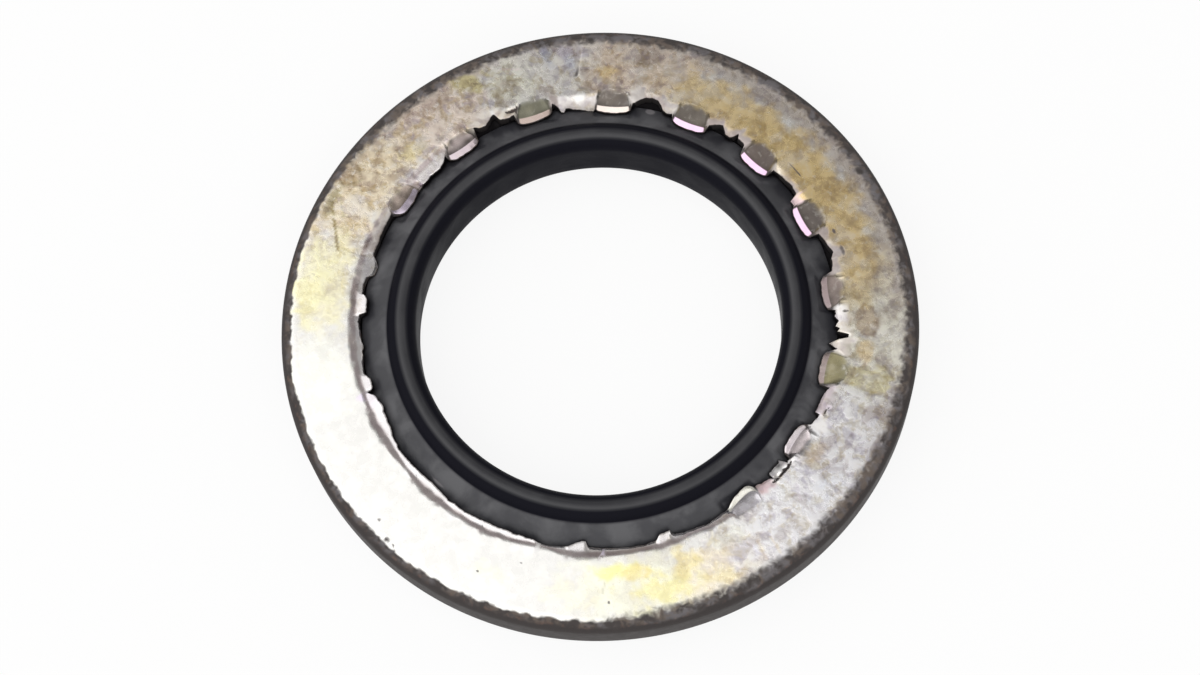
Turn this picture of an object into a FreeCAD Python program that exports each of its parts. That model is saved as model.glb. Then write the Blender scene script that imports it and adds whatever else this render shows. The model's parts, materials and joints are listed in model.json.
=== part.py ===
"""Staked sealing washer: a flat steel ring that holds a moulded rubber ring in its bore.

The steel ring is stamped from plate, so its rim is rolled over at both edges. The rubber ring
drops into the bore, and a ring of small punch marks on each face pushes tongues of steel
inwards over its flange. Nothing is glued: the tongues are what holds the two together.

Lengths are in millimetres. The washer lies flat: +Z is its axis, and Z = 0 is the surface
that it lies on, which it touches with the lower bead of the rubber.
"""
import FreeCAD, Part
import math
import os

V = FreeCAD.Vector

# Widths, from the hole outwards: together they give every radius of the washer
seal_bore_radius = 8.6        # the hole that the thread goes through
bead_inner_width = 0.7        # bore to the bead's crest, a quarter round
bead_outer_width = 0.64       # crest to the fold, where the bead rises out of the flange
flange_width = 1.26           # fold to the steel
face_width = 3.8              # the steel ring itself

# Heights
steel_thickness = 2.3
bead_height = 0.5             # of the crest above the steel's face
fold_height = 0.05            # of the fold above the steel's face
flange_edge_drop = 0.6        # the flange slopes down below the face by this at the steel
round_steps = 5               # bevels that make up each rounded edge

# Rolled rim of the steel
roll_width = 0.65             # rounding of the rim, across the face
roll_depth = 0.45             # and down the edge

# Stakes: the punch marks and the tongues of steel that they raise
stake_count = 18
stake_reach = 0.6             # how far out from the bore's edge the punch bites
stake_floor_length = 0.85     # of the sloping floor, along the radius
stake_floor_depth = 0.22      # at the inner end of the floor
nose_length = 0.3             # the bright lip beyond the floor
nose_drop = 0.07
nose_thickness = 0.14
tongue_root_depth = 0.8       # how far down the bore wall the tongue springs from
stake_outer_width = 1.34
stake_inner_width = 1.74
stake_off_centre = 0.18       # the punch wasn't quite in line with the ring
stake_off_direction = 217.0   # degrees, anticlockwise from +X
faint_stakes = range(8, 15)   # on the upper face these marks are faint: the punch leaned away
faint_share = 0.55            # of a full mark's size

# Coined band: on the upper face the punch's body has bruised the bore's edge on one side
coin_width = 0.22             # the bruise's own circle lies this far outside the bore
coin_slope = 9.0              # degrees
coin_off_centre = 0.4
coin_direction = 215.0

# Damage to the upper face
gouge_angle = 87.8
gouge_from_rim = 0.8
gouge_length = 1.7
gouge_width = 0.22
gouge_depth = 0.12
torn_edges = [(70.5, 1.5, 0.3), (111.0, 1.5, 0.42), (347.5, 0.55, 0.5)]  # angle, width, depth

crest_radius = seal_bore_radius + bead_inner_width
fold_radius = crest_radius + bead_outer_width
steel_bore_radius = fold_radius + flange_width
rim_radius = steel_bore_radius + face_width
low = bead_height
high = low + steel_thickness
middle = (low + high) / 2


def polygon_face(points):
    """A flat face with straight sides through the points."""
    return Part.Face(Part.makePolygon(points + points[:1]))


def turned(points):
    """The solid that an outline in the XZ plane sweeps round the Z axis."""
    return polygon_face(points).revolve(V(0, 0, 0), V(0, 0, 1), 360)


def round_points(centre, across, down, start, end):
    """Points along an elliptical round in the XZ plane; angles in degrees from +X."""
    points = []
    for step in range(round_steps + 1):
        turn = math.radians(start + (end - start) * step / round_steps)
        points.append(centre + V(across * math.cos(turn), 0, down * math.sin(turn)))
    return points


def both_sides(upper):
    """An outline's upper half, followed by the same points mirrored below the middle plane."""
    lower = [V(point.x, 0, 2 * middle - point.z) for point in reversed(upper)]
    return upper + lower


def placed_round(shape, angle, centre=V(0, 0, 0)):
    """A copy of a shape that was drawn along +X, turned to an angle and moved to a centre."""
    copy = shape.copy()
    copy.rotate(V(0, 0, 0), V(0, 0, 1), angle)
    copy.translate(centre)
    return copy


def off_centre(distance, direction):
    """The point at a distance from the axis, in a direction given in degrees."""
    turn = math.radians(direction)
    return V(distance * math.cos(turn), distance * math.sin(turn), 0)


def turned_over(shape):
    """The shape as it is on the lower face, turned over about the X direction."""
    copy = shape.copy()
    copy.rotate(V(0, 0, middle), V(1, 0, 0), 180)
    return copy


def steel_plate():
    """The stamped ring: flat faces, a plain bore and a rim that is rolled over."""
    roll_centre = V(rim_radius - roll_width, 0, high - roll_depth)
    roll = round_points(roll_centre, roll_width, roll_depth, 90, 0)
    return turned(both_sides([V(steel_bore_radius, 0, high)] + roll))


def coined_band():
    """What the punch's body takes off the bore's edge: a shallow cone, set to one side."""
    radius = steel_bore_radius + coin_width
    depth = radius * math.tan(math.radians(coin_slope))
    cone = Part.makeCone(0, radius, depth, V(0, 0, high - depth))
    cone.translate(off_centre(coin_off_centre, coin_direction))
    return cone


def stake_profile(share):
    """The three corners of a stake's upper surface: edge of the face, end of floor, nose."""
    start = V(steel_bore_radius + stake_reach * share, 0, high)
    floor_end = start - V(stake_floor_length, 0, stake_floor_depth) * share
    nose = floor_end - V(nose_length, 0, nose_drop) * share
    return start, floor_end, nose


def stake_solid(outline):
    """A profile in the XZ plane made as wide as a stake: narrow outside, wide inside."""
    face = polygon_face(outline)
    face.translate(V(0, -stake_inner_width / 2, 0))
    slab = face.extrude(V(0, stake_inner_width, 0))
    box = slab.BoundBox
    corners = [
        V(box.XMax, -stake_outer_width / 2, box.ZMin),
        V(box.XMax, stake_outer_width / 2, box.ZMin),
        V(box.XMin, stake_inner_width / 2, box.ZMin),
        V(box.XMin, -stake_inner_width / 2, box.ZMin),
    ]
    plan = polygon_face(corners).extrude(V(0, 0, box.ZLength))
    return slab.common(plan)


def punch_mark(share):
    """The space that the punch cuts into the face, for a share of a full mark's size."""
    start, floor_end, nose = stake_profile(share)
    above = high + stake_floor_depth
    return stake_solid([start, floor_end, nose, V(nose.x, 0, above), V(start.x, 0, above)])


def tongue(share):
    """The steel that the punch pushes inwards over the rubber."""
    start, floor_end, nose = stake_profile(share)
    root = V(steel_bore_radius, 0, high - tongue_root_depth)
    under_nose = nose - V(0, 0, nose_thickness)
    return stake_solid([start, floor_end, nose, under_nose, root, V(start.x, 0, root.z)])


def ring_of_stakes(stake_shape):
    """A stake's shape repeated round both faces, on the punch's own centre."""
    centre = off_centre(stake_off_centre, stake_off_direction)
    full = stake_shape(1)
    faint = stake_shape(faint_share)
    placed = []
    for i in range(stake_count):
        angle = 360 * i / stake_count
        placed.append(placed_round(faint if i in faint_stakes else full, angle, centre))
        placed.append(turned_over(placed_round(full, angle, centre)))
    return placed


def gouge():
    """A score in the face: a groove with sloping sides that runs along the radius."""
    outer_end = rim_radius - gouge_from_rim
    half = gouge_width / 2
    section = polygon_face([V(outer_end, -half, high), V(outer_end, half, high),
                            V(outer_end, 0, high - gouge_depth)])
    return placed_round(section.extrude(V(-gouge_length, 0, 0)), gouge_angle)


def torn_edge(angle, width, depth):
    """A place where the edge of the bore has torn away."""
    inner = steel_bore_radius - depth
    outer = steel_bore_radius + depth
    mouth = width / 2
    back = width / 4
    bite = polygon_face([V(inner, -mouth, high), V(inner, mouth, high),
                         V(outer, back, high), V(outer, -back, high)])
    return placed_round(bite.extrude(V(0, 0, -depth)), angle)


def steel_ring(tongues):
    """The whole steel ring."""
    cuts = [coined_band(), gouge()]
    cuts += [torn_edge(*tear) for tear in torn_edges]
    cuts += ring_of_stakes(punch_mark)
    return steel_plate().cut(cuts).fuse(tongues).removeSplitter()


def rubber_seal(tongues):
    """The rubber ring: a bead on each side, and a flange that the tongues press into."""
    crest_height = high + bead_height
    inner_centre = V(crest_radius, 0, crest_height - bead_inner_width)
    inner = round_points(inner_centre, bead_inner_width, bead_inner_width, 180, 90)
    fall = bead_height - fold_height
    flank_radius = (bead_outer_width ** 2 + fall ** 2) / (2 * fall)
    flank_centre = V(crest_radius, 0, crest_height - flank_radius)
    fold_angle = math.degrees(math.acos(bead_outer_width / flank_radius))
    flank = round_points(flank_centre, flank_radius, flank_radius, 90, fold_angle)
    flange_edge = V(steel_bore_radius, 0, high - flange_edge_drop)
    ring = turned(both_sides(inner + flank[1:] + [flange_edge]))
    return ring.cut(tongues).removeSplitter()


def main():
    tongues = ring_of_stakes(tongue)
    nodes = {"steel_ring": steel_ring(tongues), "rubber_seal": rubber_seal(tongues)}
    os.makedirs("parts", exist_ok=True)
    for name, shape in nodes.items():
        shape.exportStep(f"parts/{name}.step")
        box = shape.BoundBox
        print(name, "solids", len(shape.Solids), "valid", shape.isValid(),
              "volume", round(shape.Volume, 2), "across", round(box.XLength, 3),
              "from", round(box.ZMin, 3), "to", round(box.ZMax, 3))


main()
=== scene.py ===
# %% [markdown]
# # A staked sealing washer
#
# The real thing is two pieces. A steel ring is stamped from plate and plated with yellow zinc,
# and a black rubber ring sits in its hole. A punch with eighteen teeth has pushed little tongues
# of the steel inwards over the rubber, which is all that holds the two together.
#
# The solids come from the frame, at their real size. This lesson gives them their surfaces:
# the torn edge that the punch leaves, the worn plating, and the moulded rubber.

# %% Load the frame
import json
import math
import bpy
import numpy as np
from mathutils import Matrix, Vector, noise


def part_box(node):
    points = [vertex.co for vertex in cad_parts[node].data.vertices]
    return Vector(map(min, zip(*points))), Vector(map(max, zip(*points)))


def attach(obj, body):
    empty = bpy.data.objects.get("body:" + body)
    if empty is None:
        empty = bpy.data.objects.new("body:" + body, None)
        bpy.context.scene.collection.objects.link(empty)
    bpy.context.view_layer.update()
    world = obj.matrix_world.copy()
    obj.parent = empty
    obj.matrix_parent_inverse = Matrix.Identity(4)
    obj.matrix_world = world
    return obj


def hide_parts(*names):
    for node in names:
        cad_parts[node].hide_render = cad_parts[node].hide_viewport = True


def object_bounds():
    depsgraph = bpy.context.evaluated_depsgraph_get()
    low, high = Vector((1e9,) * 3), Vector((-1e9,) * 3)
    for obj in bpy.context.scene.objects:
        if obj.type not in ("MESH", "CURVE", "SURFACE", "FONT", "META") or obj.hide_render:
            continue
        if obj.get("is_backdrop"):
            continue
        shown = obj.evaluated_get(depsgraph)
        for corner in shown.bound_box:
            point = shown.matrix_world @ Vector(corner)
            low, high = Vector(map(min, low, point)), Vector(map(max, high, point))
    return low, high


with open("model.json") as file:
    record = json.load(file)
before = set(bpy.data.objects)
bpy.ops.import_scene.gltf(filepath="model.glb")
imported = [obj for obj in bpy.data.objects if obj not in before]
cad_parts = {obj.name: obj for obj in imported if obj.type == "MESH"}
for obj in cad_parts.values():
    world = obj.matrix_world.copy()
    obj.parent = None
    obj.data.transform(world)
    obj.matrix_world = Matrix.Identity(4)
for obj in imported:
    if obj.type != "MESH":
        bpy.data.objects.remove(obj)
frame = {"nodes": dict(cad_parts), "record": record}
cad_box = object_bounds()
print("frame nodes:", sorted(frame["nodes"]))

# %% [markdown]
# ## Sizes from the frame
#
# Everything below is written in millimetres on the washer, because that is how a maker thinks
# of it, and is turned into metres only when a mesh is made. The main sizes are read from the
# two CAD nodes and from the bore mount, so the looks can't drift away from the solids.

# %% Read the main sizes
MM = 0.001
steel_low, steel_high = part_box("steel_ring")
seal_low, seal_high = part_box("rubber_seal")
rim_radius = (steel_high.x - steel_low.x) / 2 / MM
face_height = steel_high.z / MM
wall_radius = (seal_high.x - seal_low.x) / 2 / MM
crest_height = seal_high.z / MM
middle = (steel_low.z + steel_high.z) / 2 / MM
bore = next(m for m in frame["record"]["mounts"] if m["name"] == "bore")
bore_radius = bore["dims"]["r_mm"]
print(f"rim {rim_radius:.2f}, steel wall {wall_radius:.2f}, bore {bore_radius:.2f} mm")
print(f"middle at {middle:.2f}, the steel's face at {face_height:.2f}, crest at {crest_height:.2f}")

# %% [markdown]
# ## Camera
#
# The photograph looks down on the washer, about twenty degrees off its axis, from close by. A
# camera is placed by that angle and distance, turned a little about its own line of sight, and
# shifted so that the washer sits where the photograph has it.

# %% Place the camera
camera_tilt = math.radians(20.06)
camera_roll = math.radians(6.83)
camera_distance = 8 * rim_radius
focal_pixels = 2558.0
picture_width = 1200
picture_shift = (1.43, -19.0)  # pixels, from the picture's middle
sensor_width = 36.0
aim_below_face = 0.1  # millimetres


def put_in_scene(name, data):
    """Add an object with that data to the scene."""
    thing = bpy.data.objects.new(name, data)
    bpy.context.scene.collection.objects.link(thing)
    return thing


def look_down(target, tilt, roll, distance):
    """The camera's matrix: tilted from the axis towards -Y, and rolled about its line of sight."""
    back = Vector((0, -math.sin(tilt), math.cos(tilt)))
    plain_up = Vector((0, math.cos(tilt), math.sin(tilt)))
    plain_right = Vector((1, 0, 0))
    right = plain_right * math.cos(roll) - plain_up * math.sin(roll)
    up = plain_right * math.sin(roll) + plain_up * math.cos(roll)
    turn = Matrix((right, up, back)).transposed().to_4x4()
    return Matrix.Translation(target + back * distance) @ turn


camera_data = bpy.data.cameras.new("camera")
camera_data.sensor_width = sensor_width
camera_data.lens = focal_pixels / picture_width * sensor_width
camera_data.shift_x = picture_shift[0] / picture_width
camera_data.shift_y = picture_shift[1] / picture_width
camera_data.clip_start = MM
camera = put_in_scene("camera", camera_data)
target = Vector((0, 0, (face_height - aim_below_face) * MM))
camera.matrix_world = look_down(target, camera_tilt, camera_roll, camera_distance * MM)
bpy.context.scene.camera = camera
bpy.context.scene.view_settings.view_transform = "Standard"
print("lens", round(camera_data.lens, 2), "mm, distance", round(camera_distance, 1), "mm")

# %% [markdown]
# ## Materials are chains of nodes
#
# A material here is a small chain: noise makes a pattern, a ramp turns it into a mask, and a mix
# lays one finish over another. This class gives each link of the chain a short name. Grain sizes
# are in millimetres, measured on the washer itself, so the pattern has its real scale.

# %% A class for building materials


class Finish:
    """A material being built, with short names for the nodes that it needs."""

    def __init__(self, name):
        self.material = bpy.data.materials.new(name)
        self.material.use_nodes = True
        self.nodes = self.material.node_tree.nodes
        self.links = self.material.node_tree.links
        self.shader = self.nodes["Principled BSDF"]
        self.place = self.nodes.new("ShaderNodeTexCoord").outputs["Object"]

    def feed(self, socket, value):
        """Put a number, a colour or another node's output into a socket."""
        if isinstance(value, bpy.types.NodeSocket):
            self.links.new(value, socket)
        elif isinstance(value, tuple) and len(socket.default_value) == 4:
            socket.default_value = value + (1.0,)
        else:
            socket.default_value = value

    def add(self, kind, inputs, output=0, **settings):
        """Add a node, feed its inputs, and give back one of its outputs."""
        node = self.nodes.new(kind)
        for name, value in settings.items():
            setattr(node, name, value)
        for key, value in inputs.items():
            self.feed(node.inputs[key], value)
        return node.outputs[output]

    def noise(self, grain, detail=2.0, distortion=0.0):
        """Cloudy noise, from 0 to 1."""
        return self.add("ShaderNodeTexNoise", {"Vector": self.place, "Scale": 1 / (grain * MM),
                                               "Detail": detail, "Distortion": distortion})

    def cells(self, grain):
        """Crystals, each with its own value from 0 to 1."""
        random_colour = self.add("ShaderNodeTexVoronoi", {"Vector": self.place,
                                                          "Scale": 1 / (grain * MM)}, "Color")
        return self.add("ShaderNodeSeparateColor", {"Color": random_colour})

    def math(self, operation, first, second=0.0):
        """Two numbers put together by an operation."""
        return self.add("ShaderNodeMath", {0: first, 1: second}, operation=operation)

    def times(self, first, second):
        """The product of two numbers."""
        return self.math("MULTIPLY", first, second)

    def plus(self, first, second):
        """The sum of two numbers."""
        return self.math("ADD", first, second)

    def ramp(self, value, start, end, low=0.0, high=1.0):
        """Goes smoothly from low to high while the value goes from start to end."""
        return self.add("ShaderNodeMapRange", {"Value": value, "From Min": start, "From Max": end,
                                               "To Min": low, "To Max": high},
                        interpolation_type="SMOOTHSTEP")

    def mix(self, share, first, second, blend="MIX"):
        """The second colour laid over the first, by a share from 0 to 1."""
        return self.add("ShaderNodeMix", {0: share, 6: first, 7: second}, 2,
                        data_type="RGBA", blend_type=blend)

    def painted(self, name, output="Fac"):
        """What is painted on the mesh under that name."""
        return self.add("ShaderNodeAttribute", {}, output, attribute_name=name)

    def bump(self, height, depth, under=None):
        """A normal that is tilted by a height pattern; depth is in millimetres."""
        inputs = {"Height": height, "Distance": depth * MM, "Strength": 1.0}
        if under is not None:
            inputs["Normal"] = under
        return self.add("ShaderNodeBump", inputs)

    def surface(self, colour, roughness, specular, normal, metallic=0.0):
        """Feed the shader with what the surface is like."""
        for name, value in (("Base Color", colour), ("Roughness", roughness),
                            ("Metallic", metallic), ("Specular IOR Level", specular),
                            ("Normal", normal)):
            self.feed(self.shader.inputs[name], value)


print("finishes are built from:", [name for name in vars(Finish) if not name.startswith("_")])

# %% [markdown]
# ## Floor
#
# The photograph has a pure white ground. A floor that is only white would look grey under soft
# light, so the camera and the reflections see it with some glow of its own. It still takes light,
# and so it keeps the washer's shadow.

# %% Lay the floor
floor_size = 1.2
floor_glow = 0.88
floor_mottle = 9.0
floor_whites = (0.895, 0.905)
pure_white = (1.0, 1.0, 1.0)

floor_finish = Finish("white_floor")
floor_finish.nodes.remove(floor_finish.shader)
floor_grain = floor_finish.ramp(floor_finish.noise(floor_mottle), 0.3, 0.7, *floor_whites)
plain_white = floor_finish.add("ShaderNodeBsdfDiffuse", {"Color": floor_grain}, "BSDF")
glow = floor_finish.add("ShaderNodeEmission", {"Color": pure_white, "Strength": 1.0}, "Emission")
rays = floor_finish.nodes.new("ShaderNodeLightPath").outputs
seen = floor_finish.math("MAXIMUM", rays["Is Camera Ray"], rays["Is Glossy Ray"])
seen = floor_finish.math("MAXIMUM", seen, rays["Is Transmission Ray"])
share = floor_finish.times(seen, floor_glow)
floor_shader = floor_finish.add("ShaderNodeMixShader", {0: share, 1: plain_white, 2: glow})
floor_finish.feed(floor_finish.nodes["Material Output"].inputs["Surface"], floor_shader)

half = floor_size / 2
floor_mesh = bpy.data.meshes.new("floor")
floor_mesh.from_pydata([(-half, -half, 0), (half, -half, 0), (half, half, 0), (-half, half, 0)],
                       [], [(0, 1, 2, 3)])
floor_mesh.materials.append(floor_finish.material)
floor = put_in_scene("floor", floor_mesh)
floor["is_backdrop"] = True
print("floor", floor_size, "m across")

# %% [markdown]
# ## Light
#
# Flat metal is a mirror with a haze: it shows whatever hangs over it. In the photograph one side
# of the washer is nearly white and the other is dim, and the change runs across it slantwise. So
# one large soft lamp hangs overhead with its straight edge just where the middle of the washer
# mirrors it, and the other side shows only the room. The room is dim overhead and white low
# down, as round a photographer's table, so that steep edges catch some light from every side.

# %% Hang the lamp
lamp_height = 0.5
lamp_length = 1.5
lamp_width = 2.4
lamp_brightness = 1.02
lamp_direction = math.radians(226)
edge_offset = 0.22  # of the rim's radius, from the middle of the washer to the mirrored edge

toward = Vector((math.cos(lamp_direction), math.sin(lamp_direction), 0))
mirror_point = toward * edge_offset * rim_radius * MM
to_camera = camera.matrix_world.translation - target - mirror_point
edge_point = mirror_point + Vector((-to_camera.x, -to_camera.y, 0)) * lamp_height / to_camera.z
lamp_data = bpy.data.lights.new("softbox", "AREA")
lamp_data.shape = "RECTANGLE"
lamp_data.size = lamp_length
lamp_data.size_y = lamp_width
lamp_data.energy = lamp_brightness * math.pi * lamp_length * lamp_width
lamp = put_in_scene("softbox", lamp_data)
lamp.location = edge_point + toward * lamp_length / 2 + Vector((0, 0, lamp_height))
lamp.rotation_euler = (0, 0, lamp_direction)
print("softbox of", round(lamp_data.energy, 2), "W at", [round(x, 3) for x in lamp.location])

# %% Light the room
room_overhead = 0.36
room_low_down = 0.9
white_up_to = math.sin(math.radians(14))
dim_from = math.sin(math.radians(36))
room_colour = (1.0, 0.99, 0.98, 1.0)

room = bpy.data.worlds.new("room")
room.use_nodes = True
room_nodes = room.node_tree.nodes
room_links = room.node_tree.links
direction = room_nodes.new("ShaderNodeTexCoord").outputs["Generated"]
height_node = room_nodes.new("ShaderNodeSeparateXYZ")
room_links.new(direction, height_node.inputs["Vector"])
fade = room_nodes.new("ShaderNodeMapRange")
fade.interpolation_type = "SMOOTHSTEP"
room_links.new(height_node.outputs["Z"], fade.inputs["Value"])
for name, number in (("From Min", white_up_to), ("From Max", dim_from),
                     ("To Min", room_low_down), ("To Max", room_overhead)):
    fade.inputs[name].default_value = number
room_light = room_nodes["Background"]
room_light.inputs["Color"].default_value = room_colour
room_links.new(fade.outputs["Result"], room_light.inputs["Strength"])
bpy.context.scene.world = room
print("room from", room_low_down, "low down to", room_overhead, "overhead")

# %% [markdown]
# ## Rings as grids
#
# Both pieces are rings, so both are made the same way: a section is drawn as a loop of points,
# it is set round the axis in many columns, and each column may bend the section a little. That
# gives clean four-sided faces, and any wear can be written as a change of radius or height by
# angle. Boolean cuts could make the same marks, but they leave long thin faces that shade badly.

# %% Helpers for angles, shares and noise
noise_gain = 1.6  # brings the noise to about -1 to 1


def degrees_apart(angle, centre):
    """The signed difference between angles, from -180 to 180 degrees."""
    return (angle - centre + 180) % 360 - 180


def smooth_step(value, start, end):
    """0 up to start, 1 from end on, and a soft change between them."""
    share = np.clip((value - start) / (end - start), 0, 1)
    return share * share * (3 - 2 * share)


def percent(mask):
    """How many of the points a mask takes in, in percent."""
    return round(100 * float(np.mean(mask)), 1)


def cloud(x, y, grain, seed):
    """Cloudy noise from -1 to 1 over points of the washer's plane, in millimetres."""
    points = np.column_stack((np.ravel(x) / grain, np.ravel(y) / grain))
    values = [noise.noise(Vector((px, py, seed))) for px, py in points]
    return np.reshape(values, np.shape(x)) * noise_gain


def round_the_ring(angle, grain, seed):
    """Noise from -1 to 1 by angle alone, with its grain measured at the steel's wall."""
    turn = np.radians(angle)
    return cloud(wall_radius * np.cos(turn), wall_radius * np.sin(turn), grain, seed)


print("noise at 0 degrees:", round(float(round_the_ring(np.array([0.0]), 0.5, 3.0)[0]), 3))

# %% The function that makes a ring


def make_ring(name, x, y, z, smooth_angle, finish):
    """A closed ring from arrays of columns by rows, in millimetres."""
    columns, rows = x.shape
    points = np.column_stack((x.ravel(), y.ravel(), z.ravel())) * MM
    column, row = np.meshgrid(np.arange(columns), np.arange(rows), indexing="ij")
    here = column * rows + row
    up = column * rows + (row + 1) % rows
    beside = ((column + 1) % columns) * rows + row
    both = ((column + 1) % columns) * rows + (row + 1) % rows
    faces = np.column_stack((here.ravel(), up.ravel(), both.ravel(), beside.ravel()))
    mesh = bpy.data.meshes.new(name)
    mesh.from_pydata(points.tolist(), [], faces.tolist())
    mesh.polygons.foreach_set("use_smooth", np.ones(len(mesh.polygons), bool))
    mesh.set_sharp_from_angle(angle=math.radians(smooth_angle))
    mesh.materials.append(finish.material)
    print(name, "has", 2 * len(mesh.polygons), "triangles")
    return put_in_scene(name, mesh)


def sharpen(piece, sharp_columns, rows):
    """Make the edges that run along some of the columns sharp."""
    edges = np.empty(2 * len(piece.data.edges), int)
    piece.data.edges.foreach_get("vertices", edges)
    first, second = edges.reshape(-1, 2).T // rows
    layer = piece.data.attributes["sharp_edge"]
    sharp = np.empty(len(layer.data), bool)
    layer.data.foreach_get("value", sharp)
    layer.data.foreach_set("value", sharp | (first == second) & sharp_columns[first])


def paint(piece, name, values):
    """Paint a number or a colour on every point of a piece."""
    values = np.asarray(values, np.float32)
    if values.ndim == 3:
        opaque = np.ones(values.shape[:2] + (1,), np.float32)
        layer = piece.data.attributes.new(name, "FLOAT_COLOR", "POINT")
        layer.data.foreach_set("color", np.concatenate((values, opaque), axis=2).ravel())
    else:
        layer = piece.data.attributes.new(name, "FLOAT", "POINT")
        layer.data.foreach_set("value", values.ravel())


# %% [markdown]
# ## Stakes
#
# Each tooth of the punch has pressed a small ramp into the steel's edge. Its floor slopes down
# towards the rubber, its sides are short steep walls, and at its inner end the steel is squeezed
# into a bright nose. The punch stood a little to one side, so the noses reach further in on one
# side than on the other.

# %% Lay out the columns
stake_count = 18
pitch = 360 / stake_count
stake_radii = (10.65, 11.3, 11.8)
stake_half_widths = (0.95, 0.82, 0.6)
side_wall_width = 0.09
floor_columns = 19
land_columns = 37
punch_offset = 0.17
punch_direction = 193.0


def stake_half_width(radius):
    """Half of a stake's width in millimetres: it is wider at its inner end."""
    return np.interp(radius, stake_radii, stake_half_widths)


def column_angles(radius):
    """The angle of every column at one radius, in degrees: close together at the stakes."""
    inside = stake_half_width(radius) / radius
    outside = (stake_half_width(radius) + side_wall_width) / radius
    across = np.linspace(-inside, inside, floor_columns)
    between = np.linspace(outside, math.radians(pitch) - outside, land_columns)
    one_pitch = np.degrees(np.concatenate((across, between)))
    return (one_pitch[None, :] + pitch * np.arange(stake_count)[:, None]).ravel()


wall_angles = column_angles(wall_radius)
columns = len(wall_angles)
print(columns, "columns, from", wall_angles[0].round(2), "to", wall_angles[-1].round(2), "degrees")

# %% Tell where each column is
between_stakes = 2.0  # stands for any place beyond the sides at -1 and 1
easing_width = 0.35   # millimetres over which the rows beside a stake ease back to their places

across_stake = np.concatenate((np.linspace(-1, 1, floor_columns),
                               np.full(land_columns, between_stakes)))
across_stake = np.tile(across_stake, stake_count)
on_stake = np.abs(across_stake) <= 1
beside_stake = ~on_stake & (np.roll(on_stake, 1) | np.roll(on_stake, -1))
stake_index = np.repeat(np.arange(stake_count), floor_columns + land_columns)
nearest_stake = np.round(wall_angles / pitch).astype(int) % stake_count
punch_shift = punch_offset * np.cos(np.radians(pitch * stake_index - punch_direction))
beyond_side = np.radians(np.abs(degrees_apart(wall_angles, pitch * nearest_stake))) * wall_radius
beyond_side = beyond_side - stake_half_width(wall_radius) - side_wall_width
close_to_stake = np.clip(1 - beyond_side / easing_width, 0, 1) * ~on_stake
print(int(on_stake.sum()), "columns on stakes,", int(beside_stake.sum()), "just beside them")

# %% [markdown]
# ## The torn edge
#
# Between the stakes the edge of the hole isn't clean. The punch has dragged lips of steel out
# over the rubber in some places, and torn notches in others. The list below goes round the edge
# as the photograph shows it: an angle in degrees, and how far from the axis the edge is there,
# as a share of the rim's radius.

# %% List the edge by angle
edge_by_angle = [
    (4.8, 0.745), (8, 0.755), (9.5, 0.765), (11, 0.76), (13, 0.752), (15.2, 0.745),
    (24.8, 0.722), (26.2, 0.72), (26.6, 0.748), (30, 0.752), (34, 0.745), (35.4, 0.742),
    (44.6, 0.742), (47, 0.75), (47.6, 0.766), (48.2, 0.748), (49, 0.74), (50.5, 0.742),
    (52, 0.76), (54, 0.752), (55.2, 0.742),
    (64.6, 0.736), (66, 0.731), (67.2, 0.735), (67.9, 0.75), (69, 0.764), (70.5, 0.77),
    (72, 0.766), (73.4, 0.757), (75, 0.742),
    (84.5, 0.712), (86, 0.712), (88, 0.718), (90, 0.722), (92, 0.728), (92.6, 0.717),
    (93.3, 0.718), (93.9, 0.737), (95.2, 0.75),
    (104.8, 0.748), (106, 0.745), (108.4, 0.752), (109.2, 0.777), (110.2, 0.775),
    (111, 0.766), (112.2, 0.757), (114, 0.757), (115.2, 0.77),
    (124.8, 0.746), (125.5, 0.738), (126.3, 0.729), (129, 0.724), (131, 0.728), (134.6, 0.724),
    (144, 0.752), (150, 0.75), (156, 0.748), (157, 0.735), (158.5, 0.725), (160.5, 0.727),
    (161.3, 0.74), (162, 0.75), (166.2, 0.75), (166.8, 0.738), (168, 0.73), (171.3, 0.73),
    (171.8, 0.752), (176, 0.75), (180, 0.741), (184, 0.75), (187, 0.748), (188.5, 0.735),
    (191, 0.735), (191.8, 0.755), (193, 0.736), (196.5, 0.722), (197.5, 0.73), (202, 0.728),
    (204, 0.738), (208, 0.742), (215, 0.738), (220, 0.733), (225, 0.74), (230, 0.742),
    (235, 0.738), (242, 0.735), (248, 0.738), (250.5, 0.746), (254, 0.742), (256, 0.74),
    (257.5, 0.73), (259.8, 0.717), (260.6, 0.72), (261, 0.738), (265, 0.74), (272, 0.744),
    (277.4, 0.74), (278.3, 0.722), (281, 0.72), (281.6, 0.735), (285, 0.74), (290, 0.745),
    (295, 0.736),
    (305.2, 0.728), (306, 0.735), (308.2, 0.74), (308.8, 0.75), (309.2, 0.73), (313, 0.728),
    (313.6, 0.72), (314, 0.75), (315.2, 0.745),
    (324.8, 0.742), (328, 0.752), (328.3, 0.737), (333.5, 0.74), (335, 0.75),
    (344.8, 0.745), (346, 0.73), (346.5, 0.722), (346.9, 0.735), (347.4, 0.75), (348.0, 0.778),
    (348.9, 0.778), (349.3, 0.742), (350.3, 0.75), (350.8, 0.739), (352.2, 0.744),
    (353.5, 0.736), (355.2, 0.738),
]
edge_angles, edge_shares = np.array(edge_by_angle).T
deepest_notch = 11.7
torn_waver = 0.03
torn_roughness = 0.02


def edge_radius(angle):
    """The radius of the torn edge at each angle, in millimetres."""
    share = np.interp(angle % 360, edge_angles, edge_shares, period=360)
    waver = torn_waver * round_the_ring(angle, 0.35, 4.0)
    roughness = torn_roughness * round_the_ring(angle, 0.12, 9.0)
    return np.minimum(share * rim_radius + waver + roughness, deepest_notch)


edge = edge_radius(wall_angles)
print("the edge runs from", edge.min().round(2), "to", edge.max().round(2), "mm")

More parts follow.
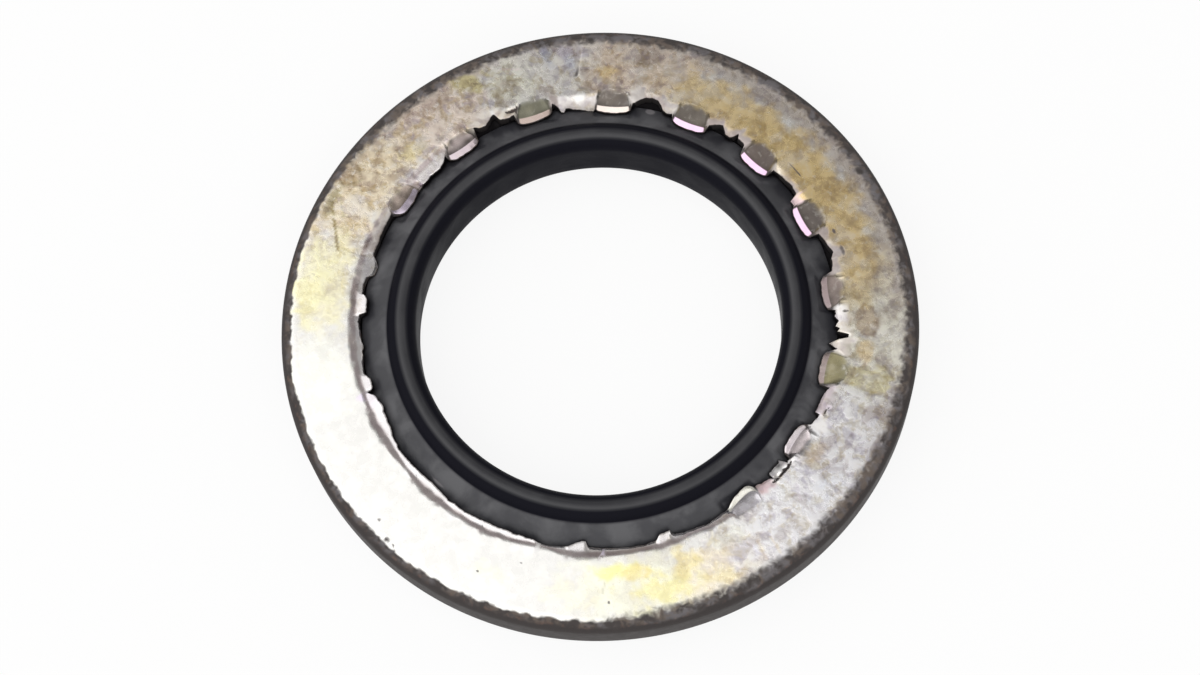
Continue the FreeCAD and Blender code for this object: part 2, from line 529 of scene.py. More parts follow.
# %% [markdown]
# ## The bruised band
#
# On one side the body of the punch has also pressed the steel down, in a narrow band just
# outside the edge. The stakes of that side are faint, because they lie in the band. In some
# parts the band ends flat, and there it mirrors the lamp again as a white strip. The next list
# gives the band's outer edge, again as shares of the rim's radius, and how wide its slope is
# in millimetres.

# %% List the band and how deep each stake is
band_by_angle = [
    (116, 0.75, 0.2), (118, 0.78, 0.25), (126, 0.782, 0.24), (134, 0.779, 0.24),
    (143, 0.784, 0.2), (150, 0.786, 0.2), (160, 0.787, 0.24), (170, 0.785, 0.24),
    (180, 0.785, 0.28), (186, 0.781, 0.24), (191, 0.776, 0.18), (194, 0.771, 0.1),
    (197, 0.781, 0.3), (203, 0.779, 0.32), (208, 0.773, 0.24), (213, 0.766, 0.08),
    (216, 0.773, 0.2), (220, 0.779, 0.34), (223, 0.777, 0.3), (226, 0.771, 0.2),
    (232, 0.771, 0.18), (238, 0.774, 0.22), (243, 0.766, 0.16), (247, 0.761, 0.16),
    (250.5, 0.756, 0.08), (255, 0.768, 0.22), (260, 0.776, 0.3), (267, 0.767, 0.2),
    (272, 0.764, 0.2), (278, 0.77, 0.24), (283, 0.765, 0.2), (286, 0.756, 0.16),
    (290, 0.767, 0.2), (295, 0.762, 0.24), (298, 0.774, 0.24), (303, 0.77, 0.24),
    (306, 0.75, 0.24),
]
band_angles, band_shares, band_widths = np.array(band_by_angle).T
band_slope = math.tan(math.radians(13))
band_waver = 0.06
flat_parts = [(124.5, 134.4), (166.2, 171.8), (187.0, 191.2), (191.4, 249.0), (255.8, 261.0),
              (277.3, 281.3)]
shallow_stakes = {7: 0.98, 8: 0, 9: 0, 10: 0, 11: 0, 12: 0, 13: 0.08, 14: 0.05, 15: 0.98}


def per_stake(values, usual):
    """A value for each stake, from a list of those that differ from the usual one."""
    return np.array([values.get(i, usual) for i in range(stake_count)])


def window(angle, start, stop, soft=0.3):
    """1 between two angles and 0 outside them."""
    after_start = smooth_step(angle, start - soft, start + soft)
    return after_start * smooth_step(angle, stop + soft, stop - soft)


def flat_share(angle):
    """1 where the band is a step that ends flat, and 0 where it slopes all the way down."""
    return np.max([window(angle, start, stop) for start, stop in flat_parts], axis=0)


def band_drop(radius, angle):
    """How far the band lies below the face."""
    outer = np.interp(angle % 360, band_angles, band_shares) * rim_radius
    outer = outer + band_waver * round_the_ring(angle, 0.45, 5.0)
    width = np.interp(angle % 360, band_angles, band_widths)
    inside = np.maximum(outer - radius, 0)
    step = np.minimum(inside, width)
    return band_slope * (inside + (step - inside) * flat_share(angle))


stake_depth = per_stake(shallow_stakes, 1.0)
full_stake = stake_depth > 0.5
print("the band is at most", band_drop(wall_radius, wall_angles).max().round(3), "mm deep")

# %% [markdown]
# ## The section of the steel
#
# Two sections are drawn with the same number of points: one through a stake, and one through
# the torn edge between stakes. A column takes one or the other, or for a faint stake a blend.
# Both go up the wall of the hole, round the lip and out to the face.

# %% Draw the part that both sections share
tongue_root = 2.0
root_step = 0.2
underside_shares = (0.4, 0.75, 1.0)
underside_back = 0.03
front_curve = ((0.005, 0.25), (0.0, 0.6), (0.015, 0.9), (0.045, 1.0))
front_back = front_curve[-1][0]
top_rows = 10
band_end = 11.75      # outside this radius the face is flat again
free_radius = 12.0    # and here the rows of all columns line up
front_rows = 2 + len(underside_shares) + len(front_curve)
edge_rows = front_rows + top_rows + 3


def wall_and_front(tip, under, top):
    """Rows up the wall, out along the underside of a lip, and round its front."""
    flat = np.ones_like(tip)
    radii = [flat * wall_radius, flat * wall_radius]
    heights = [flat * (tongue_root - root_step), flat * tongue_root]
    for share in underside_shares:
        radii.append(wall_radius + (tip + underside_back - wall_radius) * share)
        heights.append(tongue_root + (under - tongue_root) * share)
    for back, share in front_curve:
        radii.append(tip + back)
        heights.append(under + (top - under) * share)
    return radii, heights


print("each section has", edge_rows, "rows from the wall to the face")

# %% Draw the section through a stake
nose_radius = 10.71
nose_length = 0.3
nose_round = 0.13
nose_bow = 0.1
nose_waver = 0.02
nose_thickness = 0.14
fold = 0.02
nose_shares = (0.35, 0.7, 1 - fold / nose_length)
usual_drop = 0.07
nose_drops = {15: -0.03, 16: 0.0, 6: 0.12, 7: 0.12}
nose_leans = {15: -0.2, 5: -0.05}
floor_lean = 0.6              # the floor's end leans by this share of the nose's lean
floor_depth = 0.22
floor_curve = 0.8             # below 1 the floor is slightly domed
floor_start = 11.78
start_share = 0.5             # the floor starts further out by this share of the nose's way in
short_floors = {0: 0.32, 6: 0.1, 16: 0.32, 15: 0.15}
corner_round = 0.2
floor_shares = (fold, 0.2, 0.36, 0.52, 0.68, 0.84, 1 - fold)
settling = (0.02, 0.045)


def floor_start_line(across, shift, shorter):
    """The radius where a stake's floor meets the face, with rounded corners."""
    return floor_start - shift * start_share - shorter - corner_round * np.abs(across) ** 4


def stake_section(across, shift, nose_drop, lean, shorter, band=1):
    """Radius and height of each row through a stake; across goes from -1 to 1 over its width."""
    start = floor_start_line(across, shift, shorter)
    start_height = (face_height - band * band_drop(start, wall_angles))[:, None]
    across, shift, drop, lean, start = (values[:, None] for values in
                                        (across, shift, nose_drop, lean, start))
    line = nose_radius + shift + nose_bow * across ** 2
    uneven = nose_waver * round_the_ring(wall_angles, 0.22, 11.0)[:, None]
    tip = line + nose_round * across ** 6 + lean * across + uneven
    floor_end = line + nose_length + floor_lean * lean * across
    floor_height = face_height - floor_depth
    top = floor_height - drop
    radii, heights = wall_and_front(tip, top - nose_thickness, top)
    for share in nose_shares:
        radii.append(tip + front_back + (floor_end - tip - front_back) * share)
        heights.append(top + drop * share)
    for share in floor_shares:
        radii.append(floor_end + (start - floor_end) * share)
        heights.append(floor_height + (start_height - floor_height) * share ** floor_curve)
    settled = np.maximum(start + settling[1], band_end)
    for radius in (start + settling[0], settled, free_radius + 0 * start):
        radii.append(radius)
        heights.append(face_height - band * band_drop(radius[:, 0], wall_angles)[:, None])
    return np.concatenate(radii, axis=1), np.concatenate(heights, axis=1)


drops = per_stake(nose_drops, usual_drop)[nearest_stake]
leans = per_stake(nose_leans, 0.0)[nearest_stake]
shorter = per_stake(short_floors, 0.0)[nearest_stake]
print("noses reach in to", round(nose_radius - punch_offset, 2), "mm")

# %% List the slits
# Each has the angles of its two ends, its share of the radius, half its width and its darkness.
slits = [
    (307.6, 314.9, 0.759, 0.07, 1.8),
    (328.0, 330.6, 0.768, 0.05, 0.85),
    (102.6, 106.8, 0.768, 0.1, 1.1),
]
slit_depth = 0.1
slit_waver = 0.05


def leaf(angle, start, stop):
    """How wide a slit is between its two pointed ends, as a share of its full width."""
    along = (angle - (start + stop) / 2) / ((stop - start) / 2)
    return np.sqrt(np.clip(1 - along ** 2, 0, 1))


def slit_line_waver(angle):
    """How far the middle line of a slit wanders at each angle, in millimetres."""
    return slit_waver * round_the_ring(angle, 0.4, 8.0)


longest = max(stop - start for start, stop, *_ in slits)
print(len(slits), "slits, the longest over", round(longest, 1), "degrees")

# %% Draw the section through the torn edge
lip_thickness = 0.16
least_droop = 0.03
droop_by_reach = 0.5
seen_droop = 0.36             # the camera sees a drooping lip moved by this share of its droop
notch_step = 0.12             # how far a notch's underside lies above the tongues' root
shortest_top = 0.12
crowding = 1.15               # above 1 the rows crowd at the lip
bend_beyond = 0.3
bend_curve = 1.6
band_settling = (0.06, 0.15)
last_settled = (11.92, 11.96)


def torn_section(angle):
    """Radius and height of each row through the torn edge at each angle."""
    apparent = edge_radius(angle)
    reach = np.maximum(wall_radius - apparent, 0)
    droop = (least_droop + droop_by_reach * reach) * (1 - flat_share(angle))
    edge = np.minimum(apparent + seen_droop * droop * np.sin(np.radians(angle)), deepest_notch)
    lip_height = (face_height - droop - band_drop(edge, angle))[:, None]
    edge, droop, reach = edge[:, None], droop[:, None], reach[:, None]
    under = np.where(edge > wall_radius, tongue_root + notch_step, lip_height - lip_thickness)
    radii, heights = wall_and_front(edge, under, lip_height)
    end = floor_start - punch_shift * start_share - (shorter + corner_round) * close_to_stake
    end = np.maximum(end[:, None], edge + shortest_top)
    first = edge + front_back
    waver = slit_line_waver(angle)[:, None]
    steps = np.arange(1, top_rows + 1) / top_rows
    top_radii = [first + (end - fold - first) * step ** crowding for step in steps]
    top_radii += [np.clip(end + band_settling[0], band_end, last_settled[0]),
                  np.clip(end + band_settling[1], band_end + 0.1, last_settled[1]),
                  free_radius + 0 * edge]
    for radius in top_radii:
        bend = droop * np.clip(1 - (radius - edge) / (bend_beyond + reach), 0, 1) ** bend_curve
        height = face_height - bend - band_drop(radius[:, 0], angle)[:, None]
        for start, stop, share, half, _ in slits:
            beside = np.abs(radius - share * rim_radius - waver) / half
            inside = smooth_step(beside, 1.3, 0.5) * leaf(angle, start, stop)[:, None]
            height = height - slit_depth * inside
        radii.append(radius)
        heights.append(height)
    return np.concatenate(radii, axis=1), np.concatenate(heights, axis=1)


torn_radii, torn_heights = torn_section(wall_angles)
print("the torn edge has", torn_radii.shape[1], "rows, down to", torn_heights[:, -4].min().round(2))

# %% Blend the two, column by column


def edge_zone(depths, stake_rows, torn_rows):
    """Rows of the edge zone: the stake's section on the stakes, and the torn one elsewhere."""
    soft_sides = np.where(depths < 1, 1 - across ** 6, 1)
    share = (depths * on_stake * soft_sides)[:, None]
    return [torn + (stake - torn) * share for stake, torn in zip(stake_rows, torn_rows)]


across = np.clip(across_stake, -1, 1)
upper_radii, upper_heights = edge_zone(stake_depth[stake_index],
                                       stake_section(across, punch_shift, drops, leans, shorter),
                                       (torn_radii, torn_heights))
print("upper edge rows:", upper_radii.shape[1], "columns:", upper_radii.shape[0])

# %% [markdown]
# ## The underside
#
# The photograph doesn't show it. Such washers are staked from both sides, so the lower face
# has the same ring of stakes turned over, as the solids do: evenly deep, and as far off centre.
# The edges between them are nearly straight, and so it needs fewer rows.

# %% Draw the edge of the lower face
pressed_reach = 0.02
pressed_droop = 0.05
pressed_droop_width = 0.15
edge_waver = 0.03


def plain_section(angle):
    """The edge between stakes as the press leaves it, with a slight droop."""
    edge = (wall_radius - pressed_reach + edge_waver * round_the_ring(angle, 0.5, 21.0))[:, None]
    top = face_height - pressed_droop + 0 * edge
    radii, heights = wall_and_front(edge, top - lip_thickness, top)
    for step in range(1, top_rows + 1):
        radius = edge + front_back + (floor_start - fold - edge - front_back) * step / top_rows
        bend = pressed_droop * np.clip(1 - (radius - edge) / pressed_droop_width, 0, 1)
        radii.append(radius)
        heights.append(face_height - bend)
    for radius in (floor_start + settling[0], floor_start + settling[1], free_radius):
        radii.append(radius + 0 * edge)
        heights.append(face_height + 0 * edge)
    return np.concatenate(radii, axis=1), np.concatenate(heights, axis=1)


zero = np.zeros(columns)
lower_shift = punch_offset * np.cos(np.radians(pitch * stake_index + punch_direction))
lower_stakes = stake_section(across, lower_shift, zero + usual_drop, zero, zero, band=0)
lower_radii, lower_heights = edge_zone(zero + 1, lower_stakes, plain_section(wall_angles))
print("lower edge rows:", lower_radii.shape[1])

# %% Join both faces into one loop
roll_width = 0.65
roll_depth = 0.45
face_rows = 25
side_step = 0.35
face_radii = np.linspace(free_radius + 0.1, rim_radius - roll_width, face_rows)
lower_face_radii = face_radii[::-5]  # every fifth of them, from the rim inwards


def rolled(steps):
    """The rim's round, from the face outwards and down."""
    turn = np.radians(np.linspace(0, 90, steps + 1)[1:])
    radii = rim_radius - roll_width + roll_width * np.sin(turn)
    return radii, face_height - roll_depth + roll_depth * np.cos(turn)


def whole_section(at_wall, upper, shared, lower):
    """A closed loop of rows for every column: the wall, the upper face, the rim, the lower face."""
    at_wall, shared = np.tile([at_wall], (columns, 1)), np.tile(shared, (columns, 1))
    return np.concatenate((at_wall, upper, shared, lower[:, ::-1]), axis=1)


roll_radii, roll_heights = rolled(7)
lower_roll_radii, lower_roll_heights = rolled(5)
shared_radii = [*face_radii, *roll_radii, *[rim_radius] * 3, *lower_roll_radii[::-1],
                *lower_face_radii]
shared_heights = [*[face_height] * face_rows, *roll_heights,
                  middle + side_step, middle, middle - side_step,
                  *(2 * middle - lower_roll_heights[::-1]),
                  *[2 * middle - face_height] * len(lower_face_radii)]
radius_rows = whole_section(wall_radius, upper_radii, shared_radii, lower_radii)
height_rows = whole_section(middle, upper_heights, shared_heights, 2 * middle - lower_heights)
upper_rows = 1 + edge_rows + len(face_radii)
rows = radius_rows.shape[1]
print("the steel's section has", rows, "rows")

# %% [markdown]
# ## From section to ring
#
# Each row is set round the axis. A stake is wider at its inner end, so its columns lean in
# towards each other as they go out, and its side walls stay clean. Near the one long gouge they
# lean along it, which keeps its edges straight.

# %% Lean the columns
gouge_start = (87.0, 0.957)   # an angle, and a share of the rim's radius
gouge_end = (88.5, 0.838)
full_lean = (1.5, 1.0)        # degrees beside the gouge's middle, and millimetres along it
no_lean = (4.5, 1.5)

nominal = np.clip(np.median(radius_rows, axis=0), stake_radii[0], stake_radii[-1])
steel_angle = np.column_stack([column_angles(radius) for radius in nominal])
steel_radius = radius_rows
on_upper = (np.arange(rows) < upper_rows)[None, :]
gouge_middle = (gouge_start[0] + gouge_end[0]) / 2
gouge_lean = (gouge_end[0] - gouge_start[0]) / (gouge_end[1] - gouge_start[1]) / rim_radius
from_middle = steel_radius - (gouge_start[1] + gouge_end[1]) / 2 * rim_radius
beside_gouge = np.abs(degrees_apart(steel_angle, gouge_middle))
leaning = smooth_step(beside_gouge, no_lean[0], full_lean[0]) * on_upper
leaning = leaning * smooth_step(np.abs(from_middle), no_lean[1], full_lean[1])
steel_angle = steel_angle + gouge_lean * from_middle * leaning
steel_x = steel_radius * np.cos(np.radians(steel_angle))
steel_y = steel_radius * np.sin(np.radians(steel_angle))
print("steel spans", np.ptp(steel_x).round(3), "by", np.ptp(steel_y).round(3), "mm")

# %% Cut the long gouge
gouge_depth = 0.02
gouge_half_width = 0.14


def plane_point(angle, share):
    """A place on the face, from its angle and its share of the rim's radius."""
    turn = math.radians(angle)
    return np.array([math.cos(turn), math.sin(turn)]) * share * rim_radius


def distance_to_line(start, end):
    """How far each point of the steel is from a line between two places, in millimetres."""
    first, last = plane_point(*start), plane_point(*end)
    along = last - first
    share = (steel_x - first[0]) * along[0] + (steel_y - first[1]) * along[1]
    share = np.clip(share / (along @ along), 0, 1)
    return np.hypot(steel_x - first[0] - share * along[0], steel_y - first[1] - share * along[1])


in_gouge = distance_to_line(gouge_start, gouge_end) / gouge_half_width
steel_height = height_rows - on_upper * gouge_depth * np.clip(1 - in_gouge, 0, 1)
print("the gouge takes in", int((on_upper & (in_gouge < 1)).sum()), "points")

# %% [markdown]
# ## Plated steel
#
# Yellow zinc plating is thin and never even. It wears to bare silver, stains to ochre and
# brown, and has a fine crystal grain. The broad patches are painted on the points, because
# each has its own place. The grain has one kind everywhere, so nodes make it.

# %% Build the steel's finish
zinc = Finish("worn_zinc")
tint = zinc.painted("tint", "Color")
grain_amount = zinc.painted("grain")
grime = zinc.painted("grime")
burr = zinc.painted("burr")
crystals = zinc.cells(0.2)
cloudy = zinc.noise(0.5, 4.0, 0.4)
broad = zinc.noise(1.1, 5.0, 0.5)
hue = zinc.noise(0.8, 3.0, 0.8)
streaky = zinc.noise(0.28, 4.0, 0.5)
print("worn_zinc starts with", len(zinc.nodes), "nodes")

# %% Wear the plating
crystal_share = 0.18
warm_stain, cool_stain = (0.76, 0.7, 0.58), (0.7, 0.67, 0.74)
thick_plating = (0.7, 0.66, 0.65)
bare_metal = (0.95, 0.92, 0.89)
bright_fleck = (0.96, 0.93, 0.86)

mottle = zinc.times(crystals, crystal_share)
mottle = zinc.plus(mottle, zinc.times(cloudy, 1 - crystal_share))
dim = zinc.times(zinc.ramp(mottle, 0.6, 0.32), grain_amount)
stain = zinc.mix(zinc.ramp(hue, 0.42, 0.58), warm_stain, cool_stain)
worn = zinc.mix(dim, tint, zinc.mix(1.0, tint, stain, "MULTIPLY"))
shaded = zinc.mix(1.0, worn, thick_plating, "MULTIPLY")
worn = zinc.mix(zinc.times(zinc.ramp(broad, 0.5, 0.36), grain_amount), worn, shaded)
bare = zinc.times(zinc.ramp(broad, 0.53, 0.68, 0.0, 0.42), grain_amount)
worn = zinc.mix(bare, worn, bare_metal)
flecks = zinc.times(zinc.ramp(streaky, 0.56, 0.7, 0.0, 0.4), grain_amount)
worn = zinc.mix(flecks, worn, bright_fleck)
print("with the wear it has", len(zinc.nodes))

# %% Add the dirt, the painted shade and the burrs
# These colours are for the dirt, and also for painted shade: on the rim's round, in the gouge and
# the slits, on the walls under the lips, the fronts of the lips and the sides of the noses. The
# darkest one, near black, is painted shadow in the gaps.
brown_stain_and_shade, grey_stain_and_shade = (0.13, 0.105, 0.09), (0.14, 0.13, 0.135)
dark_stain_and_shade, grease_and_shade, rust_red = (0.06, 0.052, 0.05), (0.046, 0.04, 0.039), (0.13, 0.08, 0.062)
gap_shadow = (0.008, 0.007, 0.008)
# This roughness also goes on the painted shade.
added_roughness = 0.3  # for dirt, and the same for burrs
specular = 0.12
crystal_depth, cloud_depth = 0.0015, 0.012

dirt_and_shade_noise = zinc.times(zinc.noise(0.35, 5.0, 0.5), 0.6)
dirt_and_shade_mask = zinc.ramp(zinc.plus(grime, dirt_and_shade_noise), 0.6, 1.0)
thin_dirt_and_shade = zinc.mix(zinc.ramp(hue, 0.4, 0.6), brown_stain_and_shade, grey_stain_and_shade)
thin_dirt_and_shade = zinc.mix(zinc.ramp(cloudy, 0.4, 0.62), thin_dirt_and_shade, dark_stain_and_shade)
rust_specks = zinc.times(zinc.ramp(streaky, 0.5, 0.64, 0.0, 0.8), zinc.ramp(grime, 1.28, 1.0))
thick_dirt_and_shade = zinc.mix(rust_specks, grease_and_shade, rust_red)
thick_dirt_and_shade = zinc.mix(zinc.ramp(grime, 0.75, 1.3), thin_dirt_and_shade, thick_dirt_and_shade)
dirt_and_shade_colour = zinc.mix(zinc.ramp(grime, 1.5, 1.9), thick_dirt_and_shade, gap_shadow)
steel_colour = zinc.mix(dirt_and_shade_mask, worn, dirt_and_shade_colour)
roughness = zinc.ramp(cloudy, 0.3, 0.7, 0.22, 0.3)
roughness = zinc.plus(roughness, zinc.times(dirt_and_shade_mask, added_roughness))
roughness = zinc.plus(roughness, zinc.times(burr, added_roughness))
grain_normal = zinc.bump(zinc.times(crystals, grain_amount), crystal_depth)
grain_normal = zinc.bump(zinc.times(cloudy, grain_amount), cloud_depth, grain_normal)
metallic = zinc.math("SUBTRACT", 1.0, dirt_and_shade_mask)
zinc.surface(steel_colour, roughness, specular, grain_normal, metallic)
print("worn_zinc has", len(zinc.nodes), "nodes in the end")

# %% [markdown]
# ## Painting the face
#
# The face has a base of bright silver. Patches are laid over it, each at an angle and a share
# of the radius, with soft borders that noise makes uneven. Their colours are those of thin
# zinc: ochre where it is thick, olive and lilac where it has worn, silver where it is gone.

# %% Lay the patches of the face
bright_silver = (0.87, 0.86, 0.83)
broad_border = (0.35, 0.25)   # how soft it is, and how much the noise tears it
# Each patch has its angle, half its width in degrees, its share of the radius and half its own
# height in such shares, then its colour and its strength.
patches = [
    (30, 85, 0.95, 0.055, (0.64, 0.57, 0.51), 0.9),
    (120, 45, 0.945, 0.035, (0.64, 0.54, 0.44), 0.7),
    (322, 28, 0.95, 0.05, (0.66, 0.63, 0.63), 0.8),
    (315, 24, 0.85, 0.12, (0.97, 0.96, 0.98), 0.85),
    (76, 16, 0.86, 0.09, (0.92, 0.77, 0.62), 0.9),
    (97, 12, 0.87, 0.1, (0.89, 0.86, 0.8), 0.9),
    (103, 6, 0.86, 0.07, (0.89, 0.88, 0.73), 0.7),
    (121, 12, 0.86, 0.1, (0.93, 0.8, 0.69), 0.9),
    (143, 15, 0.87, 0.1, (0.92, 0.79, 0.57), 0.9),
    (165, 11, 0.88, 0.09, (0.97, 0.92, 0.64), 0.9),
    (185, 9, 0.88, 0.09, (0.97, 0.97, 0.9), 0.8),
    (272, 16, 0.87, 0.09, (0.98, 0.97, 0.8), 0.85),
    (287, 9, 0.88, 0.08, (0.99, 0.9, 0.72), 0.9),
    (2, 13, 0.83, 0.1, (0.88, 0.78, 0.58), 0.9),
    (26, 30, 0.815, 0.09, (0.87, 0.68, 0.37), 1.0),
    (54, 14, 0.815, 0.085, (0.92, 0.74, 0.44), 1.0),
    (74, 4, 0.91, 0.04, (0.8, 0.74, 0.68), 0.7),
    (36, 17, 0.82, 0.05, (0.85, 0.65, 0.32), 0.7),
    (347, 12, 0.86, 0.1, (1.0, 0.97, 0.84), 0.95),
]
steel_share = steel_radius / rim_radius
ragged = cloud(steel_x, steel_y, 0.7, 31.0) + 0.5 * cloud(steel_x, steel_y, 0.25, 32.0)
tint_values = np.ones((columns, rows, 3)) * np.array(bright_silver)


def cover_with(colour, cover):
    """Lay a colour over the tint, by a share for every point."""
    cover = cover[:, :, None]
    tint_values[:] = tint_values * (1 - cover) + np.array(colour) * cover


def lay_patch(angle, half_angle, share, half_share, colour, strength, border):
    """Lay a patch of colour on the face, with a soft and torn border."""
    softness, torn = border
    across_angle = degrees_apart(steel_angle, angle) / half_angle
    across_share = (steel_share - share) / half_share
    distance = np.hypot(across_angle, across_share) + torn * ragged
    cover_with(colour, strength * (1 - smooth_step(distance, 1 - softness, 1 + softness)))


for patch in patches:
    lay_patch(*patch, broad_border)
print("laid", len(patches), "patches")

# %% Lay the small spots and stains
# These stand for borders: how soft each is, and how much the noise tears it.
blurred, wispy, plain_cut = (0.5, 0.6), (0.5, 0.7), (0.2, 0.25)
clean_cut, clear_cut = (0.12, 0.25), (0.12, 0.3)
spots = [
    (81.5, 2.4, 0.842, 0.024, (0.87, 0.66, 0.34), 0.8, blurred),
    (94.0, 1.2, 0.925, 0.045, (0.52, 0.56, 0.7), 0.6, blurred),
    (89.5, 2.5, 0.93, 0.03, (0.62, 0.57, 0.66), 0.7, blurred),
    (89.4, 1.1, 0.88, 0.03, (0.72, 0.74, 0.82), 0.7, blurred),
    (110.8, 3.2, 0.915, 0.032, (0.72, 0.65, 0.36), 0.9, blurred),
    (129.0, 2.6, 0.84, 0.028, (0.92, 0.8, 0.45), 0.7, blurred),
    (139.0, 3.0, 0.945, 0.02, (0.5, 0.4, 0.3), 0.5, blurred),
    (147.0, 3.5, 0.945, 0.016, (0.48, 0.44, 0.28), 0.7, blurred),
    (166.5, 6.0, 0.915, 0.05, (1.0, 0.96, 0.6), 0.8, blurred),
    (267.0, 3.5, 0.815, 0.022, (1.0, 0.99, 0.45), 0.9, blurred),
    (276.5, 6.5, 0.885, 0.045, (1.0, 0.94, 0.5), 0.85, blurred),
    (271.0, 2.5, 0.835, 0.025, (0.96, 0.84, 0.42), 0.8, blurred),
    (282.0, 2.5, 0.83, 0.04, (0.98, 0.87, 0.5), 0.8, blurred),
    (288.0, 3.0, 0.91, 0.03, (0.97, 0.86, 0.55), 0.8, blurred),
    (293.0, 2.6, 0.875, 0.04, (0.94, 0.94, 1.0), 0.9, blurred),
    (292.5, 4.5, 0.81, 0.025, (0.96, 0.96, 0.88), 0.8, blurred),
    (306.5, 4.5, 0.8, 0.03, (1.0, 1.0, 1.0), 0.7, wispy),
    (314.0, 4.0, 0.89, 0.03, (0.92, 0.94, 1.0), 0.7, wispy),
    (319.0, 3.0, 0.8, 0.02, (0.93, 0.82, 0.66), 0.7, blurred),
    (331.5, 4.0, 0.815, 0.035, (1.0, 0.99, 1.0), 0.8, wispy),
    (339.0, 3.0, 0.86, 0.08, (0.84, 0.78, 0.52), 0.9, clear_cut),
    (345.5, 3.0, 0.835, 0.022, (0.92, 0.74, 0.46), 0.8, blurred),
    (352.0, 3.8, 0.836, 0.038, (0.42, 0.32, 0.24), 0.85, clean_cut),
    (352.3, 3.3, 0.833, 0.031, (0.74, 0.63, 0.48), 0.92, plain_cut),
    (357.5, 2.6, 0.83, 0.03, (0.78, 0.62, 0.34), 0.7, blurred),
    (241.0, 3.0, 0.875, 0.02, (0.97, 0.97, 0.76), 0.5, blurred),
]
for spot in spots:
    lay_patch(*spot)
print("laid", len(spots), "spots")

# %% Draw the scratches
# Each has the angle and the share of the radius of both its ends, half its width in
# millimetres, its colour and its strength.
scratches = [
    ((100, 0.897), (104, 0.92), 0.05, (1.0, 0.9, 0.86), 0.9),
    ((101.5, 0.888), (103.5, 0.902), 0.04, (0.98, 0.9, 0.88), 0.6),
    ((148, 0.944), (157.3, 0.862), 0.06, (0.45, 0.38, 0.2), 1.0),
    ((138.5, 0.94), (136.2, 0.85), 0.07, (1.0, 0.93, 0.78), 0.7),
    ((139, 0.94), (141, 0.9), 0.05, (0.5, 0.42, 0.28), 0.8),
    ((151, 0.93), (149, 0.86), 0.06, (1.0, 0.92, 0.7), 0.7),
    ((157.3, 0.862), (158, 0.835), 0.04, (0.55, 0.48, 0.3), 0.6),
    ((145, 0.945), (150, 0.886), 0.05, (0.6, 0.55, 0.34), 0.7),
    ((145, 0.945), (141, 0.895), 0.04, (0.62, 0.56, 0.36), 0.6),
    ((150, 0.886), (148.6, 0.84), 0.04, (0.6, 0.5, 0.34), 0.6),
    ((322.8, 0.94), (327.3, 0.845), 0.07, (1.0, 1.0, 0.97), 0.75),
    ((309.5, 0.91), (316.5, 0.885), 0.05, (0.98, 0.98, 1.0), 0.7),
    ((309.5, 0.855), (311.5, 0.815), 0.06, (0.98, 0.94, 1.0), 0.7),
    ((303, 0.88), (307, 0.9), 0.04, (0.97, 0.97, 0.97), 0.6),
    ((335.9, 0.935), (336.6, 0.8), 0.07, (1.0, 0.99, 0.9), 0.8),
    ((324.9, 0.93), (326, 0.86), 0.05, (0.7, 0.66, 0.66), 0.6),
    ((296.5, 0.93), (297.2, 0.87), 0.06, (0.95, 0.84, 0.66), 0.6),
    ((299.4, 0.94), (299.8, 0.88), 0.05, (0.95, 0.85, 0.7), 0.6),
    ((348.3, 0.87), (352, 0.885), 0.04, (0.97, 0.93, 0.85), 0.6),
    ((264.4, 0.885), (264.8, 0.85), 0.04, (0.6, 0.6, 0.45), 0.5),
    ((25, 0.9), (29.5, 0.885), 0.04, (0.92, 0.85, 0.7), 0.6),
    ((19.3, 0.915), (17, 0.91), 0.03, (0.92, 0.8, 0.65), 0.6),
    ((60, 0.915), (64, 0.9), 0.04, (0.85, 0.78, 0.76), 0.5),
]


def lay_streak(start, end, half_width, colour, strength):
    """Lay a thin streak of colour between two places on the face."""
    distance = distance_to_line(start, end) / half_width + 0.25 * ragged
    cover_with(colour, on_upper * strength * smooth_step(distance, 1.4, 0.6))


for scratch in scratches:
    lay_streak(*scratch)
print("drew", len(scratches), "scratches")

# %% Say how strong the grain is
# Where the lamp's highlight falls the grain is almost gone, so the face there is painted evenly
# bright: a painted highlight.
grain_by_angle = [
    (0, 0.7), (60, 0.6), (72, 1), (150, 1), (165, 0.55), (178, 0.25), (188, 0.02), (248, 0.02),
    (262, 0.25), (278, 0.35), (290, 0.7), (335, 1), (352, 0.8),
]
grain_values = np.interp(steel_angle % 360, *zip(*grain_by_angle), period=360)
print("the grain is", grain_values.mean().round(2), "strong in the mean")

# %% [markdown]
# ## Painting the stakes and the lips
#
# The floors of the stakes are painted dark, as painted shade that is darkest on the side away
# from the lamp. Their noses are freshly squeezed metal, and so are the lips that it dragged
# over the rubber.

# %% List the colours of the stakes
# Each has the colour of its floor, which is painted shade, and that of its nose. The faint
# stakes aren't painted.
stake_colours = {
    0: ((0.2, 0.165, 0.15), (0.3, 0.24, 0.24)), 1: ((0.115, 0.1, 0.09), (0.86, 0.62, 0.8)),
    2: ((0.12, 0.1, 0.09), (0.88, 0.62, 0.84)), 3: ((0.13, 0.115, 0.1), (0.88, 0.64, 0.84)),
    4: ((0.15, 0.13, 0.115), (0.84, 0.74, 0.68)), 5: ((0.17, 0.165, 0.125), (0.46, 0.37, 0.33)),
    6: ((0.34, 0.29, 0.28), (0.6, 0.52, 0.55)), 7: ((0.46, 0.38, 0.33), (0.6, 0.53, 0.62)),
    15: ((0.75, 0.72, 0.76), (1.0, 0.98, 0.9)), 16: ((0.84, 0.75, 0.76), (0.9, 0.82, 0.85)),
    17: ((0.3, 0.27, 0.16), (0.32, 0.26, 0.25)),
}
print(len(stake_colours), "stakes have colours of their own")

